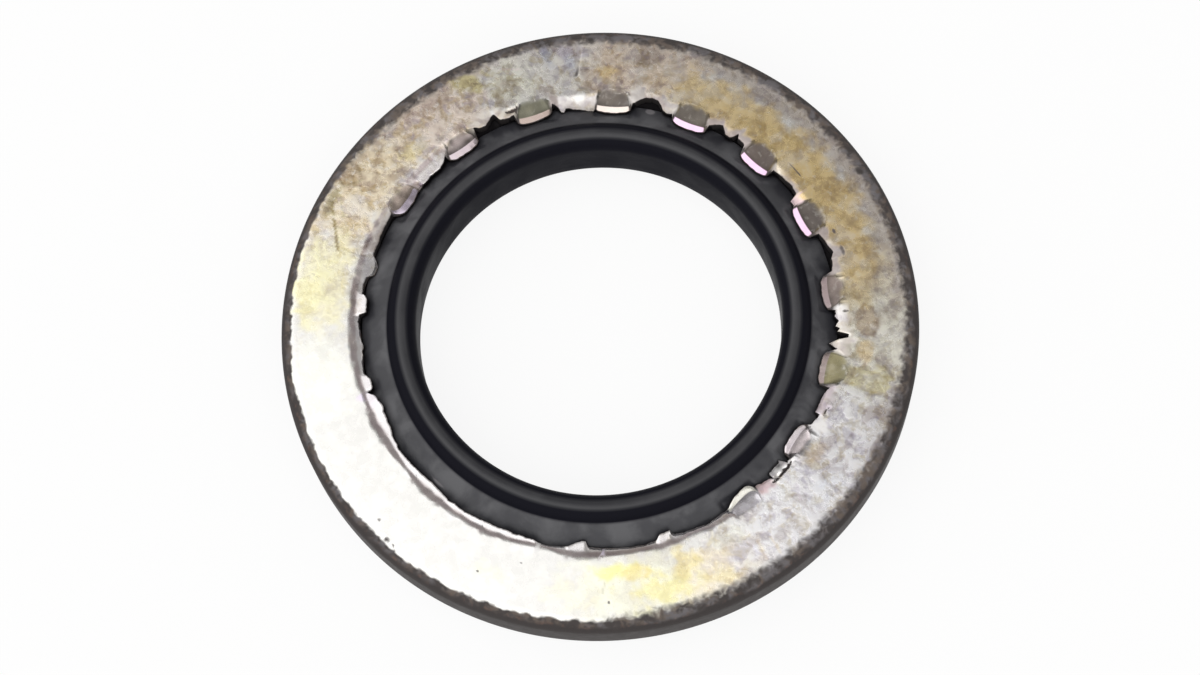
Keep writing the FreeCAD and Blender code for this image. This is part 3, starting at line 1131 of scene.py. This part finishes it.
# %% Measure places on the stakes
first_top = 1 + front_rows    # the first row on top of the lips
front_start = first_top - 2
row_number = np.arange(rows)
nose_rows = (row_number >= front_start) & (row_number < first_top + len(nose_shares))
stake_rows = (row_number >= front_start) & (row_number < first_top + top_rows + len(settling))
from_side = (1 - np.abs(across))[:, None] * stake_half_width(steel_radius)
from_side = np.where(on_stake[:, None], from_side, -side_wall_width)
from_end = floor_start_line(across, punch_shift, shorter)[:, None] - steel_radius
sloping = stake_rows * smooth_step(from_end, -0.09, 0.02)
nose_line = nose_radius + punch_shift + nose_length + nose_bow * across ** 2
from_nose = steel_radius - nose_line[:, None]
inside_floor = np.minimum(from_side + 0.2, from_end + 0.06) + 0.1 * ragged
floor_cover = smooth_step(inside_floor, 0.0, 0.24) * stake_rows
print("floors take in", percent(floor_cover > 0.5), "percent of the points")

# %% Shade the stakes
lit_slope, unlit_slope = 0.4, 0.85
side_shade = 0.55
shade_limits = (0.25, 1.2)
floor_grain = 0.2

faces_lamp = np.cos(np.radians(pitch * nearest_stake) - lamp_direction) < 0
slope_tint = np.where(faces_lamp, lit_slope, unlit_slope)[:, None]
shaded_side = 1 - side_shade * smooth_step(from_side, 0.05, -0.03) * sloping
dark_width = per_stake({6: 0.3}, 0.25)[nearest_stake][:, None]
dark_start = per_stake({6: 0.25}, 0.65)[nearest_stake][:, None]
shade = dark_start + (1 - dark_start) * smooth_step(from_nose, 0.0, dark_width) + 0.2 * ragged
shade = np.clip(shade, *shade_limits) * shaded_side
print("a slope keeps", lit_slope, "of its tint where it faces the lamp, and else", unlit_slope)

# %% Paint each stake
for index, (painted_floor_shade, nose_colour) in stake_colours.items():
    mine = ((nearest_stake == index) & (on_stake | beside_stake))[:, None]
    # Each stake's slopes and floor get their painted shade here.
    tint_values = tint_values * (1 - (1 - slope_tint) * mine * sloping)[:, :, None]
    cover_with(painted_floor_shade, mine * floor_cover)
    tint_values = tint_values * np.where(mine & stake_rows, shade, 1)[:, :, None]
    on_nose = mine * nose_rows * smooth_step(from_side, 0.04, 0.08)
    cover_with(nose_colour, on_nose)
    pressed = mine * np.maximum(floor_cover, on_nose)
    grain_values = grain_values + (floor_grain - grain_values) * pressed
print("painted", len(stake_colours), "stakes")

# %% List the lips
# Each has the angles of its two ends, how wide it is in millimetres, and its colour.
silver, cream, pink = (0.93, 0.91, 0.9), (0.8, 0.75, 0.68), (0.85, 0.68, 0.7)
lilac, dull_pink, pale = (0.86, 0.78, 0.9), (0.52, 0.46, 0.44), (0.62, 0.58, 0.55)
lips = [
    (4, 16, 0.4, dull_pink), (24, 26.5, 0.5, pink), (26.5, 30.5, 0.2, dull_pink),
    (30.5, 36, 0.28, (0.55, 0.5, 0.46)), (44, 56, 0.28, dull_pink),
    (64, 68.5, 0.5, pale), (67, 74, 0.2, dull_pink), (72.5, 76, 0.6, pale),
    (84, 93.5, 0.42, (0.72, 0.68, 0.66)), (93.5, 95.5, 0.6, dull_pink),
    (104, 109, 0.5, cream), (109.8, 116, 0.5, cream), (124, 126, 0.5, dull_pink),
    (126, 133.6, 0.55, cream), (133.6, 136, 0.6, (0.5, 0.43, 0.42)), (143.5, 156, 0.3, pale),
    (156, 161.5, 0.35, lilac), (166, 172, 0.4, silver),
    (187, 191.2, 0.35, silver), (191.4, 197, 0.5, lilac), (197, 250, 0.5, silver),
    (255.8, 261, 0.5, silver), (261, 265, 0.4, lilac), (277.3, 281.3, 0.45, silver),
    (304, 308.5, 0.4, pink), (308.8, 314.3, 0.35, (0.84, 0.82, 0.82)), (324, 328, 0.6, silver),
    (328, 336, 0.4, (0.85, 0.78, 0.82)), (343.5, 348, 0.65, (0.97, 0.92, 0.86)),
    (349, 356, 0.6, (0.97, 0.94, 0.92)),
]
print(len(lips), "lips")

# %% Paint the lips
lip_softness = 0.16
calmer_grain = 0.3

burr_values = np.zeros((columns, rows))
from_edge = steel_radius - steel_radius[:, front_start][:, None] + 0.2 * ragged
for start, stop, width, colour in lips:
    cover = smooth_step(from_edge, width + lip_softness, width - lip_softness)
    cover = window(steel_angle, start, stop) * cover * on_upper * ~on_stake[:, None]
    cover_with(colour, cover)
    grain_values = grain_values * (1 - calmer_grain * cover)
    burr_values = np.maximum(burr_values, cover * (1 - flat_share(steel_angle)))
print("burrs on", percent(burr_values > 0.5), "percent of the points")

# %% Paint the bruised band
light_mauve, dark_mauve = np.array((0.64, 0.56, 0.55)), np.array((0.42, 0.34, 0.35))
strip_white = (0.96, 0.92, 0.93)
mauve_strength = 0.85
white_strength = 0.7

step_line = np.interp(steel_angle % 360, band_angles, band_shares) - steel_share
on_step = on_upper * smooth_step(step_line + 0.003 * ragged, -0.001, 0.004) * (1 - burr_values)
on_full_stake = (full_stake[stake_index] & on_stake)[:, None] & (from_end > -0.02)
on_step = on_step * window(steel_angle, 118, 304, 2.0) * ~on_full_stake
strip_width = np.interp(steel_angle % 360, band_angles, band_widths)
into_strip = step_line * rim_radius / strip_width + 0.15 * ragged
mauve_share = 0.5 + 0.5 * np.clip(cloud(steel_x, steel_y, 0.9, 33.0), -1, 1)
mauve = light_mauve + (dark_mauve - light_mauve) * mauve_share[:, :, None]
# The band's slope is painted mauve, partly its own colour and partly painted shade; its flat end is
# painted white, partly a painted highlight where it mirrors the lamp.
cover_with(mauve, mauve_strength * on_step * smooth_step(into_strip, 1.6, 1.0))
cover_with(strip_white, white_strength * on_step * smooth_step(into_strip, 1.0, 1.6))
print("the band takes in", percent(on_step > 0.5), "percent of the points")

# %% Mark the spots of dirt
# Each has its angle, half its width in degrees, its share of the radius and half its height.
marks = [
    (9.2, 1.5, 0.797, 0.008), (14.2, 0.9, 0.793, 0.006), (31.5, 2.8, 0.796, 0.004),
    (217.5, 0.4, 0.93, 0.007), (221.4, 0.6, 0.957, 0.009), (222.8, 0.5, 0.962, 0.008),
    (239.2, 0.35, 0.888, 0.005), (247, 0.4, 0.82, 0.004), (265.5, 0.35, 0.91, 0.006),
    (354.4, 0.4, 0.772, 0.011),
]
mark_grime = 0.66

dirt_and_shade_values = np.zeros((columns, rows))


def add_darkening(values):
    """Make every point at least so dark; dirt and painted shade are both laid on this way."""
    dirt_and_shade_values[:] = np.maximum(dirt_and_shade_values, values)


for angle, half_angle, share, half_share in marks:
    across_angle = degrees_apart(steel_angle, angle) / half_angle
    distance = np.hypot(across_angle, (steel_share - share) / half_share)
    add_darkening(on_upper * mark_grime * smooth_step(distance, 1.8, 0.4))
print("marked", len(marks), "spots")

# %% Darken the rim
# The rim is painted dark: dirt on the worn edge of the face, and painted shade on its round.
# The dark ends softly on most of the rim, and crisply on the side where the lamp hangs.
crisp_middle = 203
soft_rim_by_share = [
    (0.925, 0), (0.934, 0.28), (0.946, 0.47), (0.958, 0.62), (0.97, 0.72), (0.982, 0.9),
    (0.99, 1.3),
]
crisp_rim_by_share = [
    (0.956, 0), (0.964, 0.2), (0.97, 0.68), (0.976, 0.85), (0.985, 1.05), (0.992, 1.3),
]

crisp = smooth_step(np.abs(degrees_apart(steel_angle, crisp_middle)), 75, 45)
ragged_share = steel_share + 0.004 * ragged
soft_rim = np.interp(ragged_share, *zip(*soft_rim_by_share))
crisp_rim = np.interp(ragged_share, *zip(*crisp_rim_by_share))
add_darkening(soft_rim + (crisp_rim - soft_rim) * crisp)
print("the rim's dirt takes in", percent(dirt_and_shade_values > 0.6), "percent")

# %% Darken the gouge and the slits
# The gouge, its hook and the slits are painted dark: painted shade in their grooves, darker where
# the gouge runs deeper.
hook_end = (89.9, 0.833)
hook_half_width = 0.09
gouge_shade, deeper_shade, hook_shade = 0.46, 0.16, 0.55

deeper = smooth_step(steel_share, 0.96, 0.84)
in_hook = distance_to_line(gouge_end, hook_end) / hook_half_width
add_darkening(on_upper * (gouge_shade + deeper_shade * deeper) * smooth_step(in_gouge, 1.3, 0.3))
add_darkening(on_upper * hook_shade * smooth_step(in_hook, 1.3, 0.3))
waver = slit_line_waver(steel_angle)
for start, stop, share, half, darkness in slits:
    width = leaf(steel_angle, start, stop)
    inside = np.abs(steel_radius - share * rim_radius - waver) / half + 0.25 * ragged
    slit_shade = smooth_step(inside, width * 1.15, width * 0.7 - 0.01) * (width > 0.05)
    add_darkening(darkness * on_upper * slit_shade * ~on_stake[:, None])
print("gouge and", len(slits), "slits are dark")

# %% Darken the walls, the fronts and the gaps
# The walls under the lips, the fronts of the lips and the sides of the noses are painted dark:
# painted shadow in the gaps over the rubber, near black under the lips.
wall_shade = 2.0
stake_front_shade, torn_front_shade = 1.0, 1.7
nose_side_shade = 0.9
underside_grime = 0.25
# On the underside the rim's own darkening, of dirt and painted shade, begins at the share below.
rim_darkening_start = 0.95         # on the underside the rim's own dirt begins here

wall_rows = (row_number < first_top - len(front_curve)) | (row_number > rows - first_top + 2)
fronts = (row_number >= first_top - len(front_curve)) & (row_number < first_top - 1)
front_shade = np.where(on_stake[:, None], stake_front_shade, torn_front_shade)
nose_sides = (np.abs(across_stake) == 1) & (stake_depth[nearest_stake] == 1)
below = ~on_upper & (steel_share < rim_darkening_start) & ~wall_rows
for places, value in ((wall_rows, wall_shade), (fronts, front_shade),
                      (nose_sides[:, None] & nose_rows, nose_side_shade),
                      (below, underside_grime)):
    dirt_and_shade_values = np.where(places, value, dirt_and_shade_values)
print("dirt covers", percent(dirt_and_shade_values > 0.6), "percent of the points")

# %% Make the steel ring
sharp_angle = 40

steel = make_ring("stamped_ring", steel_x, steel_y, steel_height, sharp_angle, zinc)
stake_sides = beside_stake | on_stake & (np.abs(across_stake) == 1)
sharpen(steel, stake_sides & (stake_depth[nearest_stake] == 1), rows)
paint(steel, "tint", tint_values)
paint(steel, "grain", grain_values)
paint(steel, "grime", dirt_and_shade_values)
paint(steel, "burr", burr_values)
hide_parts("steel_ring")
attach(steel, "root")

# %% [markdown]
# ## Moulded rubber
#
# The seal is one moulding: a smooth rounded bead round the hole, and a dull flange that slopes
# away under the steel. Its section is drawn from the same arcs as the solid's.

# %% The section of the rubber
crest_radius = 9.3
seal_wall_half = 0.6
inner_round = crest_radius - bore_radius
fold_radius = 9.94
fold_height = face_height + 0.05
flange_edge_height = face_height - 0.6
fall = crest_height - fold_height
flank_radius = ((fold_radius - crest_radius) ** 2 + fall ** 2) / (2 * fall)


def seal_half(round_steps, flank_steps, flange_steps):
    """Radii and heights from the bore's wall, over the crest, down the flank and out."""
    turn = np.radians(np.linspace(180, 90, round_steps))
    radii = list(crest_radius + inner_round * np.cos(turn))
    heights = list(crest_height - inner_round + inner_round * np.sin(turn))
    end = math.degrees(math.acos((fold_radius - crest_radius) / flank_radius))
    turn = np.radians(np.linspace(90, end, flank_steps)[1:])
    radii += list(crest_radius + flank_radius * np.cos(turn))
    heights += list(crest_height - flank_radius + flank_radius * np.sin(turn))
    share = np.linspace(0, 1, flange_steps)[1:]
    radii += list(fold_radius + (wall_radius - fold_radius) * share)
    heights += list(fold_height + (flange_edge_height - fold_height) * share)
    return np.array(radii), np.array(heights)


upper_seal = seal_half(12, 10, 22)
lower_seal = seal_half(7, 6, 9)
wall_steps = np.linspace(middle - seal_wall_half, middle + seal_wall_half, 5)
seal_radii = np.concatenate((wall_steps * 0 + bore_radius, upper_seal[0], [wall_radius],
                             lower_seal[0][::-1]))
seal_heights = np.concatenate((wall_steps, upper_seal[1], [middle],
                               2 * middle - lower_seal[1][::-1]))
print("the rubber's section has", len(seal_radii), "rows")

# %% [markdown]
# ## How the flange is pressed
#
# Where a nose bears on the flange the rubber dips in front of it, so each nose has a dark line
# before it. The rest of the flange is a little uneven, as soft rubber is when it is squeezed.

# %% Press the flange
seal_columns = 900
press_depth = 0.13
slow_wave, quick_wave = 0.03, 0.012

around = np.linspace(0, 360, seal_columns, endpoint=False)
seal_angle = np.tile(around[:, None], (1, len(seal_radii)))
seal_radius = np.tile(seal_radii, (seal_columns, 1))
seal_height = np.tile(seal_heights, (seal_columns, 1))
seal_x = seal_radius * np.cos(np.radians(seal_angle))
seal_y = seal_radius * np.sin(np.radians(seal_angle))
above_middle = seal_height > middle
on_flange = above_middle * smooth_step(seal_radius, fold_radius + 0.1, fold_radius + 0.4)
from_stake = degrees_apart(seal_angle, np.round(seal_angle / pitch) * pitch)
nearest = np.round(around / pitch).astype(int) % stake_count
tip_radius = nose_radius + punch_offset * np.cos(np.radians(pitch * nearest - punch_direction))
tip_radius = tip_radius[:, None]
press = stake_depth[nearest][:, None] * smooth_step(np.abs(from_stake), 5.6, 4.2)
press = press * smooth_step(seal_radius, tip_radius - 0.28, tip_radius - 0.02)
seal_height = seal_height - press_depth * press * above_middle
uneven = slow_wave * cloud(seal_x, seal_y, 1.3, 41.0)
uneven = uneven + quick_wave * cloud(seal_x, seal_y, 0.4, 42.0)
seal_height = seal_height + on_flange * uneven
print("the flange is pressed down by at most", round(press_depth * float(press.max()), 2), "mm")

# %% Build the rubber's finish
# The second black is for the painted shadow under the steel.
clean_black, shadow_black = (0.0085, 0.0085, 0.0125), (0.006, 0.005, 0.006)
dark_smear, light_smear, scuff = (0.035, 0.035, 0.041), (0.1, 0.1, 0.107), (0.2, 0.19, 0.2)
pore_depth, smear_depth = 0.003, 0.03

rubber = Finish("moulded_rubber")
pale_rubber = rubber.painted("pale")
shine = rubber.painted("shine")
gap = rubber.painted("gap")
smears = rubber.noise(1.6, 4.0, 0.3)
pores = rubber.noise(0.08, 2.0)
smeared = rubber.mix(rubber.ramp(smears, 0.4, 0.66), dark_smear, light_smear)
black = rubber.mix(pale_rubber, clean_black, smeared)
black = rubber.mix(rubber.ramp(pale_rubber, 1.0, 1.5), black, scuff)
black = rubber.mix(gap, black, shadow_black)
rubber_roughness = rubber.ramp(smears, 0.3, 0.7, 0.36, 0.48)
rubber_normal = rubber.bump(pores, pore_depth)
rubber_normal = rubber.bump(smears, smear_depth, rubber_normal)
rubber.surface(black, rubber_roughness, shine, rubber_normal)
print("moulded_rubber has", len(rubber.nodes), "nodes")

# %% Mark the seal's crest highlight, its scuffs and the shadow under the steel
# The crest is painted a little paler, as a painted highlight along the bead.
painted_crest_highlight, land_pale, scuff_pale, flash_pale = 0.12, 0.8, 0.9, 0.7


def seal_spot(angle, half_angle, radius, half_width):
    """How far each point of the seal is from a spot's middle, as a share of the spot's size."""
    return np.hypot(degrees_apart(seal_angle, angle) / half_angle,
                    (seal_radius - radius) / half_width)


on_land = smooth_step(seal_radius, fold_radius, fold_radius + 0.1)
crest_middle = crest_radius - 0.05
on_crest = smooth_step(np.abs(seal_radius - crest_middle), 0.3, 0.14) * (seal_height > middle + 1.0)
steel_edge = np.interp(around, wall_angles % 360, steel_radius[:, front_start], period=360)
# The flange is painted near black just inside the steel's edge and under it: a painted shadow of
# the steel, left out at the scuff.
under_steel = smooth_step(seal_radius, steel_edge[:, None] - 0.18, steel_edge[:, None] + 0.02)
scuffed = seal_spot(70.6, 1.3, 11.05, 0.18)
flash = seal_spot(220.2, 2.0, 10.8, 0.07)
pale_values = land_pale * on_land + painted_crest_highlight * on_crest
pale_values = pale_values + scuff_pale * smooth_step(scuffed, 1.3, 0.5)
pale_values = pale_values + flash_pale * smooth_step(flash, 1.4, 0.5)
print("the steel's edge over the seal:", steel_edge.min().round(2), "to", steel_edge.max().round(2))

# %% Make the rubber ring
least_shine, land_shine, crest_shine = 0.02, 0.45, 0.68

seal = make_ring("moulded_seal", seal_x, seal_y, seal_height, sharp_angle, rubber)
paint(seal, "pale", pale_values)
paint(seal, "shine", least_shine + land_shine * on_land + crest_shine * on_crest)
paint(seal, "gap", under_steel * smooth_step(scuffed, 0.6, 1.3))
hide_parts("rubber_seal")
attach(seal, "root")

# %% [markdown]
# ## Both sizes
#
# The looks have to stay inside the solid's box, so both boxes are printed.

# %% Print both boxes
looks_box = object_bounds()
boxes = {"cad": [list(corner) for corner in cad_box],
         "looks": [list(corner) for corner in looks_box]}
for name, (low, high) in boxes.items():
    print(name, [round((b - a) / MM, 2) for a, b in zip(low, high)], "mm")
